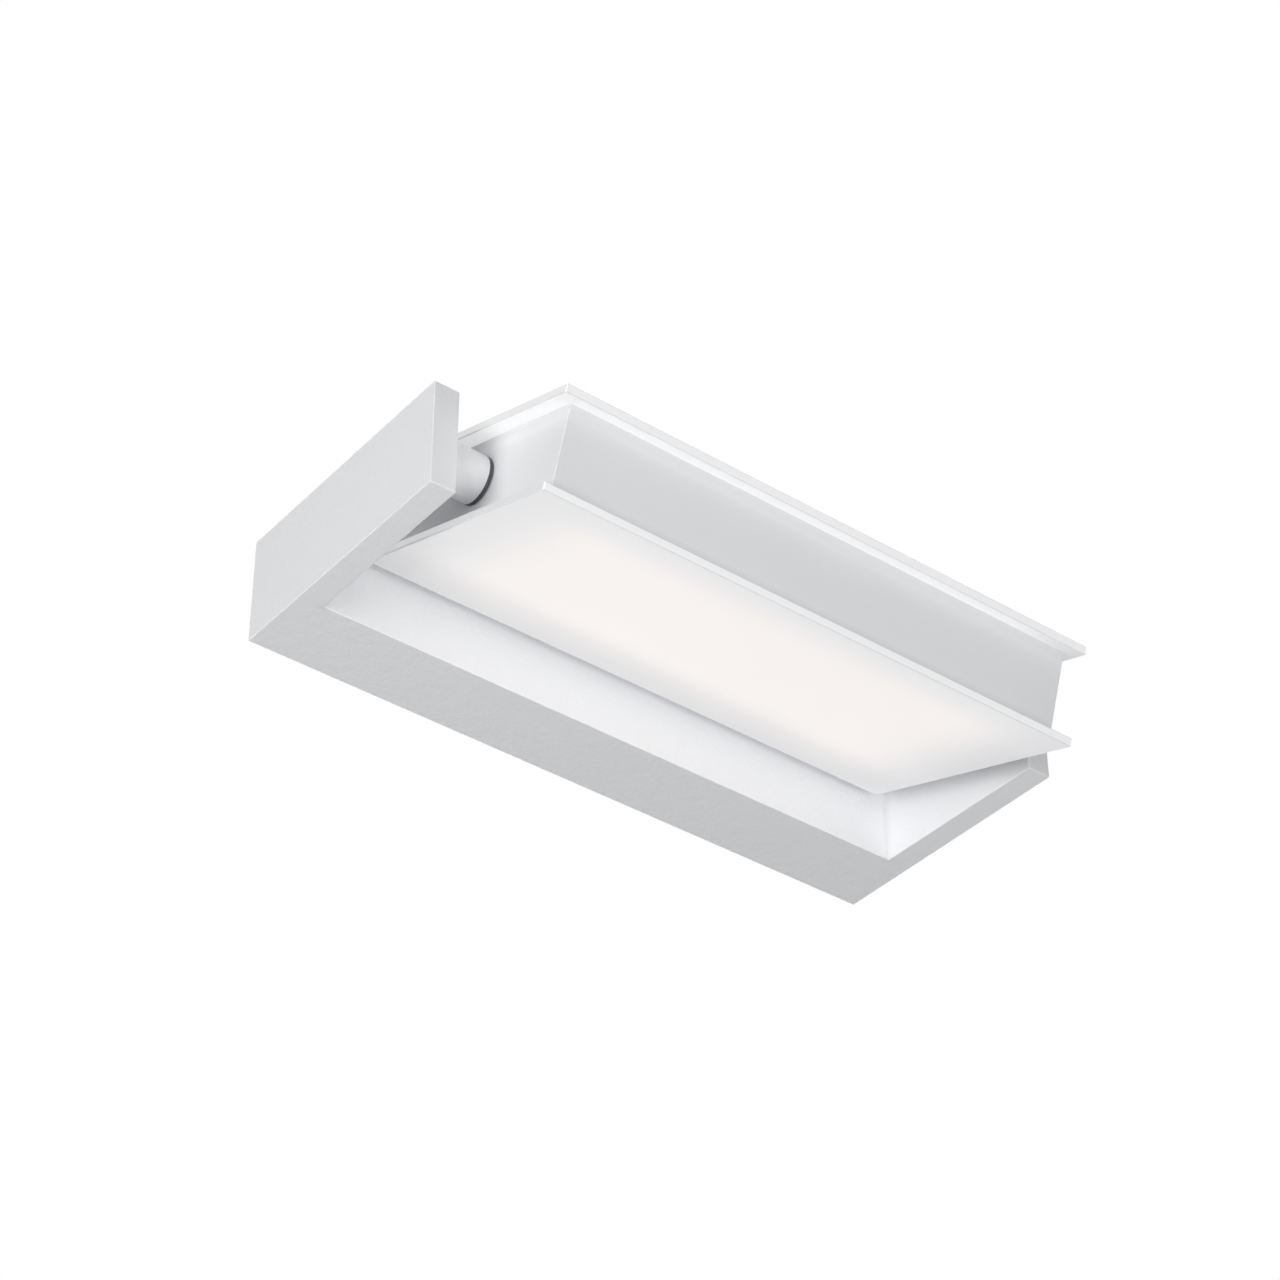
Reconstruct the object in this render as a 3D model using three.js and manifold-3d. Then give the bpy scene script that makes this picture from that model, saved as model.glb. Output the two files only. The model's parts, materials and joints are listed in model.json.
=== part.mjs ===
import * as THREE from 'three';
import { mergeVertices } from 'three/addons/utils/BufferGeometryUtils.js';
import Module from 'manifold-3d';

const wasm = await Module();
wasm.setup();

// A wall light: a U-shaped bracket on the wall carries a box-shaped light head between its arms.
// The head turns on two hollow pivots and glows through an opal plate above and one below.
// Millimetres. +Z is up, the wall is the plane Y = 0, the room is toward -Y, the origin is the
// middle of the face that lies on the wall.

// Bracket
const bracketWidth = 250;
const bracketHeight = 39.4;
const armThickness = 9.2;
const housingDepth = 29.1;
const housingSkin = 2.6;
const housingFront = 3;
const housingEnd = 3;

// Tilt axis, behind the arms' front ends, and the angle that the head rests at, its room side down
const pivotSetback = 11.3;
const restTiltDegrees = 18.7;
const tiltStopDegrees = 90;

// Light head, which leaves a gap to each arm, and a gap to the housing as its edges swing past
const headSideGap = 15.75;
const swingGap = 6.676;
const bodyHeight = 28.8;
const frameWall = 2.4;
const plateDepth = 97.7;
const plateThickness = 3;
const plateChamfer = 0.4;
const plateEndOverhang = 5.3;
const plateSideOverhang = 4.7;
const spreaderThickness = 2;

// Pivots
const collarDiameter = 16.2;
const frictionWasherThickness = 1.2;
const pivotTubeBore = 6.4;
const pivotTubeWall = 1.8;
const pivotTubeDiameter = pivotTubeBore + 2 * pivotTubeWall;
const armSkin = 2.4;
const wireBore = 4.6;

// Clearances
const seatGap = 0.3;
const bondGap = 0.2;
const mitreGap = 0.2;
const runningGap = 0.25;
const slipGap = 0.2;
const cutOverrun = 1;

// Sides of round pieces
const fineSides = 48;
const roundSides = 24;
const smallSides = 12;
const leadSides = 8;
const hexSides = 6;

const paint = { color: 0xe2e3e5, roughness: 0.55, metalness: 0 };
const opal = { color: 0xf6f5f3, roughness: 0.35, metalness: 0 };
const zincSteel = { color: 0xb4b7ba, roughness: 0.38, metalness: 1 };
const bareAluminium = { color: 0xc9ccd0, roughness: 0.42, metalness: 1 };
const darkNylon = { color: 0x4a4c50, roughness: 0.6, metalness: 0 };
const blackRubber = { color: 0x202123, roughness: 0.8, metalness: 0 };
const whitePlastic = { color: 0xeeeeea, roughness: 0.45, metalness: 0 };
const boardMask = { color: 0xf2f3f0, roughness: 0.4, metalness: 0 };
const brownSleeve = { color: 0x6b4226, roughness: 0.5, metalness: 0 };
const blueSleeve = { color: 0x2f5fa8, roughness: 0.5, metalness: 0 };
const clearSleeve = { color: 0xd9d9d4, roughness: 0.5, metalness: 0 };

const light = new THREE.Group();

// A closed geometry as a solid that can be joined and cut
function solidOf(geometry) {
  const bare = geometry.clone();
  bare.deleteAttribute('normal');
  bare.deleteAttribute('uv');
  const merged = mergeVertices(bare);
  return new wasm.Manifold(new wasm.Mesh({
    numProp: 3,
    vertProperties: merged.attributes.position.array,
    triVerts: merged.index.array,
  }));
}

function geometryOf(solid) {
  const mesh = solid.getMesh();
  const geometry = new THREE.BufferGeometry();
  geometry.setAttribute('position', new THREE.BufferAttribute(mesh.vertProperties, 3));
  geometry.setIndex(new THREE.BufferAttribute(mesh.triVerts, 1));
  geometry.computeVertexNormals();
  return geometry;
}

function cut(base, ...tools) {
  return geometryOf(tools.reduce((solid, tool) => solid.subtract(solidOf(tool)), solidOf(base)));
}

function join(base, ...others) {
  return geometryOf(others.reduce((solid, other) => solid.add(solidOf(other)), solidOf(base)));
}

function common(base, other) {
  return geometryOf(solidOf(base).intersect(solidOf(other)));
}

// A block between two opposite corners
function block(x0, x1, y0, y1, z0, z1) {
  const geometry = new THREE.BoxGeometry(x1 - x0, y1 - y0, z1 - z0);
  return geometry.translate((x0 + x1) / 2, (y0 + y1) / 2, (z0 + z1) / 2);
}

// A flat outline in X and Y, thickened upward from z0 to z1
function slab(shape, z0, z1) {
  const geometry = new THREE.ExtrudeGeometry(shape, { depth: z1 - z0, bevelEnabled: false });
  return geometry.translate(0, 0, z0);
}

function outline(points) {
  return new THREE.Shape(points.map(([x, y]) => new THREE.Vector2(x, y)));
}

// Turns a geometry whose own axis is Y so that the axis lies along the named one
function lieAlong(axis, geometry) {
  if (axis === 'x') geometry.rotateZ(-Math.PI / 2);
  if (axis === 'z') geometry.rotateX(Math.PI / 2);
  return geometry;
}

// A round bar from one end to the other along an axis, centred on the other two coordinates
function bar(axis, diameter, from, to, [a, b], sides = roundSides) {
  const geometry = new THREE.CylinderGeometry(diameter / 2, diameter / 2, to - from, sides);
  lieAlong(axis, geometry);
  const middle = (from + to) / 2;
  if (axis === 'x') return geometry.translate(middle, a, b);
  if (axis === 'y') return geometry.translate(a, middle, b);
  return geometry.translate(a, b, middle);
}

// A turned ring along X
function ring(outer, inner, x0, x1, sides = roundSides) {
  const corners = [[inner, 0], [outer, 0], [outer, x1 - x0], [inner, x1 - x0], [inner, 0]];
  const profile = corners.map(([diameter, height]) => new THREE.Vector2(diameter / 2, height));
  return lieAlong('x', new THREE.LatheGeometry(profile, sides)).translate(x0, 0, 0);
}

// A pan head's side rises over one share of its height and narrows to the other at its crown
const panRimShare = 0.45;
const panCrownShare = 0.6;
const socketDepthShare = 0.6;

// A screw standing on its tip, its shank up to the height where the head seats
function screw({ thread, headDiameter, headHeight, length, socket, countersunk = false }) {
  const shank = thread / 2;
  const head = headDiameter / 2;
  const rimShare = countersunk ? 1 : panRimShare;
  const crownShare = countersunk ? 1 : panCrownShare;
  const profile = [
    [0, 0],
    [shank, 0],
    [shank, length],
    [countersunk ? shank : head, length],
    [head, length + headHeight * rimShare],
    [head * crownShare, length + headHeight],
    [0, length + headHeight],
  ];
  const points = profile
    .filter(([r, h], i) => i === 0 || r !== profile[i - 1][0] || h !== profile[i - 1][1])
    .map(([r, h]) => new THREE.Vector2(r, h));
  const body = new THREE.LatheGeometry(points, smallSides);
  const depth = headHeight * socketDepthShare;
  const driverHole = new THREE.CylinderGeometry(socket / 2, socket / 2, depth + cutOverrun, hexSides);
  driverHole.translate(0, length + headHeight - depth + (depth + cutOverrun) / 2, 0);
  return cut(body, driverHole);
}

// A round lead along a path with straight runs and rounded corners
function lead(points, diameter, bend) {
  const path = new THREE.CurvePath();
  const corners = points.map(([x, y, z]) => new THREE.Vector3(x, y, z));
  let start = corners[0];
  for (let i = 1; i < corners.length - 1; i += 1) {
    const toward = corners[i - 1].clone().sub(corners[i]).setLength(bend);
    const onward = corners[i + 1].clone().sub(corners[i]).setLength(bend);
    const entry = corners[i].clone().add(toward);
    const leave = corners[i].clone().add(onward);
    path.add(new THREE.LineCurve3(start, entry));
    path.add(new THREE.QuadraticBezierCurve3(entry, corners[i], leave));
    start = leave;
  }
  path.add(new THREE.LineCurve3(start, corners[corners.length - 1]));
  const steps = Math.ceil(path.getLength() / (diameter * leadStepShare));
  const section = new THREE.Shape();
  for (let i = 0; i < leadSides; i += 1) {
    const angle = (2 * Math.PI * i) / leadSides;
    const x = (Math.cos(angle) * diameter) / 2;
    const y = (Math.sin(angle) * diameter) / 2;
    if (i === 0) section.moveTo(x, y);
    else section.lineTo(x, y);
  }
  return new THREE.ExtrudeGeometry(section, { steps, bevelEnabled: false, extrudePath: path });
}

function add(parent, name, geometry, finish) {
  const mesh = new THREE.Mesh(geometry, new THREE.MeshStandardMaterial(finish));
  mesh.name = name;
  parent.add(mesh);
  return mesh;
}

// The head fills what the arms leave free, and the arms reach as far as its swing needs
const bodyLength = bracketWidth - 2 * armThickness - 2 * headSideGap;
const plateLength = bodyLength + 2 * plateEndOverhang;
const bodyDepth = plateDepth - 2 * plateSideOverhang;
const headHalfHeight = bodyHeight / 2 + bondGap + plateThickness;
const swingRadius = Math.hypot(plateDepth / 2, headHalfHeight);
const pivotReach = housingDepth + swingGap + swingRadius;
const bracketReach = pivotReach + pivotSetback;

// Places along X, outward from the middle
const armInner = bracketWidth / 2 - armThickness;
const armMiddle = bracketWidth / 2 - armThickness / 2;
const cavityHalf = armInner - housingEnd;
const cavityFront = -(housingDepth - housingFront);
const cavityTop = bracketHeight / 2 - housingSkin;
const bodyHalf = bodyLength / 2;
const bodyInner = bodyHalf - frameWall;
const frictionWasherEnd = bodyHalf + runningGap;
const collarStart = frictionWasherEnd + frictionWasherThickness;
const socketEnd = bracketWidth / 2 - armSkin;

// Screws
const armScrewSize = { thread: 4, headDiameter: 7, headHeight: 2.4, length: 9, socket: 2.5 };
const armScrewEdge = 6.1;
const armScrewSpread = cavityTop - armScrewEdge;
const housingScrewSize = {
  thread: 3, headDiameter: 5.6, headHeight: 1.6, length: 4.4, socket: 2, countersunk: true,
};
const smallScrewSize = { thread: 3, headDiameter: 5.6, headHeight: 1.9, length: 5.6, socket: 2 };
const earthScrewSize = { thread: 4, headDiameter: 7.4, headHeight: 2.6, length: 1.6, socket: 2.5 };
const boardScrewSize = { thread: 2.5, headDiameter: 4.6, headHeight: 1.6, length: 3.3, socket: 1.5 };
const clampScrewSize = { thread: 2.6, headDiameter: 3.2, headHeight: 1.2, length: 2.4, socket: 1.3 };

// Wiring
const outputLeadDiameter = 2.4;
const headLeadDiameter = 1.9;
const mainsLeadDiameter = 2;
const outputLeadBend = 3.4;
const mainsLeadBend = 1.6;
const headLeadBend = 1.9;
const leadStepShare = 0.7;
const leadInsert = 4;
const leadSlack = 2;
const leadHeightInWall = cavityFront / 2;
const leadForkRoom = 6.1;

// Wall plate, which the housing hooks over
const wallPlateThickness = 2;
const wallPlateFit = 0.5;
const tabEndGap = 17.8;
const tabPlace = cavityHalf - tabEndGap;
const tabWidth = 14;
const tabReach = 12;
const tabScrewReach = 7;
const slotEndGap = 48.8;
const slotPlace = cavityHalf - slotEndGap;
const slotLength = 12;
const slotWidth = 5.4;
const entryEndGap = 24.8;
const entryPlace = cavityHalf - entryEndGap;
const entryDiameter = 13;
const earthEndGap = 8.8;
const earthPlace = cavityHalf - earthEndGap;
const earthEdge = 7.6;
const earthDrop = cavityTop - wallPlateFit - earthEdge;

// Terminal block
const terminalToEntry = 52;
const terminalPlace = entryPlace - terminalToEntry;
const terminalLength = 20;
const terminalDepth = 13;
const terminalHeight = 19;
const poleSpacing = 9;
const terminalBore = 2.8;
const terminalWell = 6.4;
const clampSpacing = 9;

// Driver, a potted block screwed to two bosses inside the housing; it fills what the terminal block
// and the output lead leave free
const driverEndGap = 16.8;
const driverToTerminal = 6;
const driverTopGap = 3.1;
const driverBackGap = 4;
const driverLidThickness = 1.6;
const earLength = 8;
const earThickness = 2;
const earHeight = 14;
const bossDiameter = 6.5;
const bossHeight = 3;
const bossHoleDepth = 4.4;
const driverStart = -(cavityHalf - driverEndGap - earLength);
const driverEnd = terminalPlace - terminalLength / 2 - driverToTerminal - earLength;
const driverLength = driverEnd - driverStart;
const driverPlace = (driverStart + driverEnd) / 2;
const driverHeight = 2 * (cavityTop - driverTopGap);
const driverThickness = -cavityFront - seatGap - driverLidThickness - driverBackGap
  - wallPlateThickness;

function buildArm(side) {
  const x0 = side > 0 ? armInner : -bracketWidth / 2;
  const x1 = side > 0 ? bracketWidth / 2 : -armInner;
  const half = bracketHeight / 2;
  const mouth = side * (armInner - cutOverrun);
  const floor = side * socketEnd;
  const tools = [
    bar('x', pivotTubeDiameter + 2 * slipGap, Math.min(mouth, floor), Math.max(mouth, floor),
      [-pivotReach, 0]),
    bar('y', wireBore, -pivotReach, cutOverrun, [side * armMiddle, 0], smallSides),
    bar('x', wireBore, Math.min(mouth, side * armMiddle), Math.max(mouth, side * armMiddle),
      [leadHeightInWall, 0], smallSides),
  ];
  const screwFloor = side * (cavityHalf + armScrewSize.length + seatGap);
  for (const z of [-armScrewSpread, armScrewSpread]) {
    tools.push(bar('x', armScrewSize.thread + 2 * slipGap, Math.min(mouth, screwFloor),
      Math.max(mouth, screwFloor), [leadHeightInWall, z], smallSides));
  }
  return cut(block(x0, x1, -bracketReach, 0, -half, half), ...tools);
}

function buildHousing() {
  const half = bracketHeight / 2;
  const shell = cut(
    block(-armInner, armInner, -housingDepth, 0, -half, half),
    block(-cavityHalf, cavityHalf, cavityFront, cutOverrun, -cavityTop, cavityTop),
  );
  const bosses = driverScrewPlaces().map((x) => (
    bar('y', bossDiameter, cavityFront - slipGap, cavityFront + bossHeight, [x, 0], smallSides)
  ));
  const tools = driverScrewPlaces().map((x) => (
    bar('y', smallScrewSize.thread + 2 * slipGap, cavityFront + bossHeight - bossHoleDepth,
      cavityFront + bossHeight + cutOverrun, [x, 0], smallSides)
  ));
  for (const side of [-1, 1]) {
    const wall = [side * (cavityHalf - cutOverrun), side * (armInner + cutOverrun)];
    const ends = [Math.min(...wall), Math.max(...wall)];
    tools.push(bar('x', wireBore, ...ends, [leadHeightInWall, 0], smallSides));
    for (const z of [-armScrewSpread, armScrewSpread]) {
      tools.push(bar('x', armScrewSize.thread + 2 * slipGap, ...ends, [leadHeightInWall, z],
        smallSides));
    }
    const [x, y] = [side * tabPlace, -tabScrewReach];
    tools.push(bar('z', housingScrewSize.thread + 2 * slipGap, cavityTop - cutOverrun,
      half + cutOverrun, [x, y], smallSides));
    tools.push(countersink(half).translate(x, y, 0));
  }
  return cut(join(shell, ...bosses), ...tools);
}

// The cone that a countersunk head sinks into, its wide end at the given height
function countersink(top) {
  const { thread, headDiameter, headHeight } = housingScrewSize;
  const cone = new THREE.CylinderGeometry(
    headDiameter / 2 + slipGap, thread / 2 + slipGap, headHeight, smallSides);
  lieAlong('z', cone);
  const mouth = bar('z', headDiameter + 2 * slipGap, top - slipGap, top + cutOverrun, [0, 0],
    smallSides);
  return join(cone.translate(0, 0, top - slipGap - headHeight / 2), mouth);
}

function driverScrewPlaces() {
  const reach = (driverLength + earLength) / 2;
  return [driverPlace - reach, driverPlace + reach];
}

function buildBracket() {
  add(light, 'back_housing', buildHousing(), paint);
  for (const [label, side] of [['left', -1], ['right', 1]]) {
    add(light, `arm_${label}`, buildArm(side), paint);
    for (const [level, z] of [['lower', -armScrewSpread], ['upper', armScrewSpread]]) {
      const geometry = lieAlong('x', screw(armScrewSize));
      geometry.rotateY(side > 0 ? Math.PI : 0);
      const tip = side * (cavityHalf + armScrewSize.length);
      const mesh = add(light, `arm_screw_${label}_${level}`, geometry, zincSteel);
      mesh.position.set(tip, leadHeightInWall, z);
    }
    const fixing = add(light, `housing_screw_${label}`,
      lieAlong('z', screw(housingScrewSize)), zincSteel);
    const { length, headHeight } = housingScrewSize;
    const tip = bracketHeight / 2 - slipGap - headHeight - length;
    fixing.position.set(side * tabPlace, -tabScrewReach, tip);
  }
}

function buildWallPlate() {
  const halfLength = cavityHalf - wallPlateFit;
  const halfHeight = cavityTop - wallPlateFit;
  const tabs = [];
  const tools = [];
  for (const side of [-1, 1]) {
    const x = side * tabPlace;
    for (const z of [-halfHeight, halfHeight - wallPlateThickness]) {
      tabs.push(block(x - tabWidth / 2, x + tabWidth / 2, -tabReach, 0, z, z + wallPlateThickness));
    }
    tools.push(bar('z', housingScrewSize.thread + 2 * slipGap, halfHeight - 2 * wallPlateThickness,
      halfHeight + cutOverrun, [x, -tabScrewReach], smallSides));
    const centre = side * slotPlace;
    const reach = (slotLength - slotWidth) / 2;
    const deep = [-wallPlateThickness - cutOverrun, cutOverrun];
    tools.push(block(centre - reach, centre + reach, ...deep, -slotWidth / 2, slotWidth / 2));
    for (const end of [-reach, reach]) {
      tools.push(bar('y', slotWidth, ...deep, [centre + end, 0], smallSides));
    }
  }
  const through = [-wallPlateThickness - cutOverrun, cutOverrun];
  tools.push(bar('y', entryDiameter, ...through, [entryPlace, 0]));
  tools.push(bar('y', earthScrewSize.thread + 2 * slipGap, ...through, [earthPlace, -earthDrop],
    smallSides));
  tools.push(bar('y', smallScrewSize.thread + 2 * slipGap, ...through, [terminalPlace, 0],
    smallSides));
  const plate = block(-halfLength, halfLength, -wallPlateThickness, 0, -halfHeight, halfHeight);
  return cut(join(plate, ...tabs), ...tools);
}

// Soft bushing in the plate's cable entry, its flange on the room side
function buildGrommet() {
  const sleeveWall = 2.3;
  const flangeReach = 2;
  const flangeThickness = 1.6;
  const sleeve = entryDiameter - 2 * slipGap;
  const bore = sleeve - 2 * sleeveWall;
  const flangeDiameter = entryDiameter + 2 * flangeReach;
  const seat = wallPlateThickness + slipGap;
  const corners = [
    [bore, slipGap],
    [sleeve, slipGap],
    [sleeve, seat],
    [flangeDiameter, seat],
    [flangeDiameter, seat + flangeThickness / 2],
    [flangeDiameter - flangeThickness, seat + flangeThickness],
    [bore, seat + flangeThickness],
    [bore, slipGap],
  ];
  const profile = corners.map(([diameter, height]) => new THREE.Vector2(diameter / 2, height));
  return new THREE.LatheGeometry(profile, roundSides).rotateX(Math.PI);
}

function buildTerminalBlock() {
  const back = -wallPlateThickness - seatGap;
  const front = back - terminalDepth;
  const half = terminalHeight / 2;
  const x0 = terminalPlace - terminalLength / 2;
  const x1 = terminalPlace + terminalLength / 2;
  const wireLevel = terminalWireLevel();
  const tools = [
    bar('y', smallScrewSize.thread + 2 * slipGap, front - cutOverrun, cutOverrun,
      [terminalPlace, 0], smallSides),
    bar('y', smallScrewSize.headDiameter + 2 * seatGap, front - cutOverrun, front + terminalWell,
      [terminalPlace, 0], smallSides),
  ];
  for (const z of [-poleSpacing, poleSpacing].map((gap) => gap / 2)) {
    tools.push(bar('x', terminalBore, x0 - cutOverrun, x1 + cutOverrun, [wireLevel, z],
      smallSides));
    for (const x of clampPlaces()) {
      tools.push(bar('y', clampScrewSize.headDiameter + 2 * slipGap, front - cutOverrun, wireLevel,
        [x, z], smallSides));
    }
  }
  return cut(block(x0, x1, front, back, -half, half), ...tools);
}

function terminalWireLevel() {
  return -wallPlateThickness - seatGap - terminalDepth / 2;
}

function clampPlaces() {
  return [terminalPlace - clampSpacing / 2, terminalPlace + clampSpacing / 2];
}

// The fixing screw's tip reaches into the plate from the bottom of its well
function terminalFixingScrew() {
  const front = -wallPlateThickness - seatGap - terminalDepth;
  const seat = front + terminalWell - slipGap;
  const length = -slipGap - seat;
  const geometry = screw({ ...smallScrewSize, length }).rotateX(Math.PI);
  return geometry.translate(terminalPlace, -slipGap, 0);
}

function buildConnections() {
  const plateFace = -wallPlateThickness;
  add(light, 'wall_plate', buildWallPlate(), zincSteel);
  const grommet = add(light, 'cable_grommet', buildGrommet(), blackRubber);
  grommet.position.set(entryPlace, 0, 0);
  const earth = add(light, 'earth_screw', screw(earthScrewSize).rotateX(Math.PI), zincSteel);
  earth.position.set(earthPlace, plateFace - slipGap + earthScrewSize.length, -earthDrop);
  add(light, 'terminal_block', buildTerminalBlock(), whitePlastic);
  add(light, 'terminal_fixing_screw', terminalFixingScrew(), zincSteel);
  const wireTop = terminalWireLevel() - mainsLeadDiameter / 2 - slipGap;
  for (const [pole, z] of [['neutral', -poleSpacing / 2], ['live', poleSpacing / 2]]) {
    for (const [place, x] of [['lamp', clampPlaces()[0]], ['mains', clampPlaces()[1]]]) {
      const geometry = screw(clampScrewSize).rotateX(Math.PI);
      add(light, `clamp_screw_${pole}_${place}`, geometry, zincSteel).position.set(x, wireTop, z);
    }
  }
}

function buildDriver() {
  const front = cavityFront + seatGap;
  const back = front + driverThickness;
  const [x0, x1] = [driverStart, driverEnd];
  const half = driverHeight / 2;
  const earBase = cavityFront + bossHeight + seatGap;
  const ears = block(x0 - earLength, x1 + earLength, earBase, earBase + earThickness,
    -earHeight / 2, earHeight / 2);
  const holes = driverScrewPlaces().map((x) => (
    bar('y', smallScrewSize.thread + 2 * slipGap, earBase - cutOverrun,
      earBase + earThickness + cutOverrun, [x, 0], smallSides)
  ));
  const body = block(x0, x1, front, back, -half, half);
  add(light, 'driver_case', cut(join(body, ears), ...holes), whitePlastic);
  const lidEdge = driverLidThickness / 2;
  const lid = new THREE.BoxGeometry(driverLength, driverLidThickness, driverHeight);
  const lidPositions = lid.attributes.position;
  for (let i = 0; i < lidPositions.count; i += 1) {
    if (lidPositions.getY(i) > 0) {
      lidPositions.setX(i, lidPositions.getX(i) - Math.sign(lidPositions.getX(i)) * lidEdge);
      lidPositions.setZ(i, lidPositions.getZ(i) - Math.sign(lidPositions.getZ(i)) * lidEdge);
    }
  }
  const lidMesh = add(light, 'driver_lid', lid, whitePlastic);
  lidMesh.position.set(driverPlace, back + driverLidThickness / 2, 0);
  for (const [label, x] of [['left', driverScrewPlaces()[0]], ['right', driverScrewPlaces()[1]]]) {
    const geometry = screw(smallScrewSize);
    const tip = earBase + earThickness + slipGap - smallScrewSize.length;
    add(light, `driver_screw_${label}`, geometry, zincSteel).position.set(x, tip, 0);
  }
}

function buildLeads() {
  const wireIn = terminalPlace - terminalLength / 2;
  const wireOut = driverEnd + seatGap;
  const level = terminalWireLevel();
  for (const [name, z, finish] of [
    ['neutral_lead', -poleSpacing / 2, blueSleeve],
    ['live_lead', poleSpacing / 2, brownSleeve],
  ]) {
    const rise = Math.sign(z) * leadSlack;
    const near = wireIn - mainsLeadDiameter;
    const far = wireOut + mainsLeadDiameter;
    const route = [
      [wireIn + leadInsert, level, z],
      [near, level, z],
      [(near + far) / 2, level - leadSlack, z + rise],
      [far, level, z],
      [wireOut, level, z],
    ];
    add(light, name, lead(route, mainsLeadDiameter, mainsLeadBend), finish);
  }
  const leaving = driverStart - seatGap;
  const route = [
    [leaving, leadHeightInWall, 0],
    [-armMiddle, leadHeightInWall, 0],
    [-armMiddle, -pivotReach, 0],
    [-(collarStart + (armInner - collarStart) / 2), -pivotReach, 0],
  ];
  add(light, 'output_lead', lead(route, outputLeadDiameter, outputLeadBend), clearSleeve);
}

buildBracket();
buildConnections();
buildDriver();
buildLeads();

// Inside the head, along X from its end wall inward
const stopWasherThickness = 0.8;
const stopWasherRim = 2.5;
const stopWasherDiameter = pivotTubeDiameter + 2 * slipGap + 2 * stopWasherRim;
const stopPinDiameter = 3;
const stopPinToRim = 1;
const stopPinCircle = stopWasherDiameter + 2 * stopPinToRim + stopPinDiameter;
const stopPinStickOut = 3;
const stopTabShort = 0.4;
const stopTabReach = stopPinToRim + stopPinDiameter - stopTabShort;
const stopTabWidth = 3;
const discSpringThickness = 0.6;
const discSpringCone = 0.5;
const nutRim = 2;
const nutFlats = pivotTubeDiameter + 2 * nutRim;
const nutThickness = 4;
const tubeStickOut = 1;
const keyWidth = 1.6;
const keyDepth = 0.9;
const stopWasherOuter = bodyInner - runningGap;
const stopWasherInner = stopWasherOuter - stopWasherThickness;
const discSpringInner = stopWasherInner - slipGap - discSpringThickness - discSpringCone;
const nutOuter = discSpringInner - slipGap;
const nutInner = nutOuter - nutThickness;
const tubeInner = nutInner - tubeStickOut;
const boreInFrame = pivotTubeDiameter + 4 * slipGap;

// A disc with a shallow cone, so that the nut presses it flat against the stack
function buildDiscSpring() {
  const outer = stopWasherDiameter / 2;
  const inner = pivotTubeDiameter / 2 + slipGap;
  const corners = [
    [inner, 0],
    [outer, discSpringCone],
    [outer, discSpringCone + discSpringThickness],
    [inner, discSpringThickness],
    [inner, 0],
  ];
  const profile = corners.map(([radius, height]) => new THREE.Vector2(radius, height));
  return lieAlong('x', new THREE.LatheGeometry(profile, roundSides));
}

function buildNut() {
  const corner = nutFlats / 2 / Math.cos(Math.PI / hexSides);
  const hex = new THREE.CylinderGeometry(corner, corner, nutThickness, hexSides);
  const across = lieAlong('x', hex).translate(nutThickness / 2, 0, 0);
  return cut(across, bar('x', pivotTubeDiameter + 2 * slipGap, -cutOverrun,
    nutThickness + cutOverrun, [0, 0]));
}

// The threaded tube that the head turns on: a keyway at its inner end holds the stop washer, and a
// notch at its outer end lets the lead in from the arm
function buildPivotTube() {
  const outer = socketEnd - seatGap;
  const tube = ring(pivotTubeDiameter, pivotTubeBore, tubeInner, outer);
  const top = pivotTubeDiameter / 2;
  const keyway = block(tubeInner - cutOverrun, stopWasherOuter + slipGap, -keyWidth / 2,
    keyWidth / 2, top - keyDepth, top + cutOverrun);
  const notch = block(armMiddle - wireBore / 2, outer + cutOverrun, 0, top + cutOverrun,
    -wireBore / 2, wireBore / 2);
  return cut(tube, keyway, notch);
}

// Keyed to the tube; on the left side its tab hangs straight down and meets a pin at each end of
// the tilt
function buildStopWasher() {
  const flat = ring(stopWasherDiameter, pivotTubeDiameter + 2 * slipGap, stopWasherInner,
    stopWasherOuter);
  const rim = stopWasherDiameter / 2;
  const tab = block(stopWasherInner, stopWasherOuter, -stopTabWidth / 2, stopTabWidth / 2,
    rim - stopTabWidth / 2, rim + stopTabReach);
  const hub = pivotTubeDiameter / 2;
  const key = block(stopWasherInner, stopWasherOuter, -keyWidth / 2 + slipGap,
    keyWidth / 2 - slipGap, hub - keyDepth + slipGap, hub + stopTabWidth / 2);
  return join(flat, tab, key);
}

function buildPivot(label, side) {
  const axis = new THREE.Group();
  axis.position.set(0, -pivotReach, 0);
  light.add(axis);
  const onSide = (geometry) => (side > 0 ? geometry : geometry.rotateZ(Math.PI).rotateX(Math.PI));
  const collar = ring(collarDiameter, pivotTubeDiameter + 2 * slipGap, collarStart, armInner,
    fineSides);
  const washer = ring(collarDiameter, pivotTubeDiameter + 2 * slipGap, frictionWasherEnd,
    collarStart, fineSides);
  add(axis, `pivot_collar_${label}`, onSide(collar), paint);
  add(axis, `friction_washer_${label}`, onSide(washer), darkNylon);
  add(axis, `pivot_tube_${label}`, onSide(buildPivotTube()), zincSteel);
  add(axis, `disc_spring_${label}`, onSide(buildDiscSpring().translate(discSpringInner, 0, 0)),
    zincSteel);
  add(axis, `pivot_nut_${label}`, onSide(buildNut().translate(nutInner, 0, 0)), zincSteel);
  if (side < 0) add(axis, 'stop_washer', onSide(buildStopWasher()), zincSteel);
}

buildPivot('left', -1);
buildPivot('right', 1);

// The head turns as one group about the tilt axis
const head = new THREE.Group();
head.position.set(0, -pivotReach, 0);
head.rotation.x = THREE.MathUtils.degToRad(restTiltDegrees);
light.add(head);

const grooveDepth = 3.6;
const grooveRib = 1.2;
const keyLeg = 10;
const keyPlateThickness = 2;
const keyTopGap = 2.8;
const tabSwingGap = 0.7;

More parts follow.
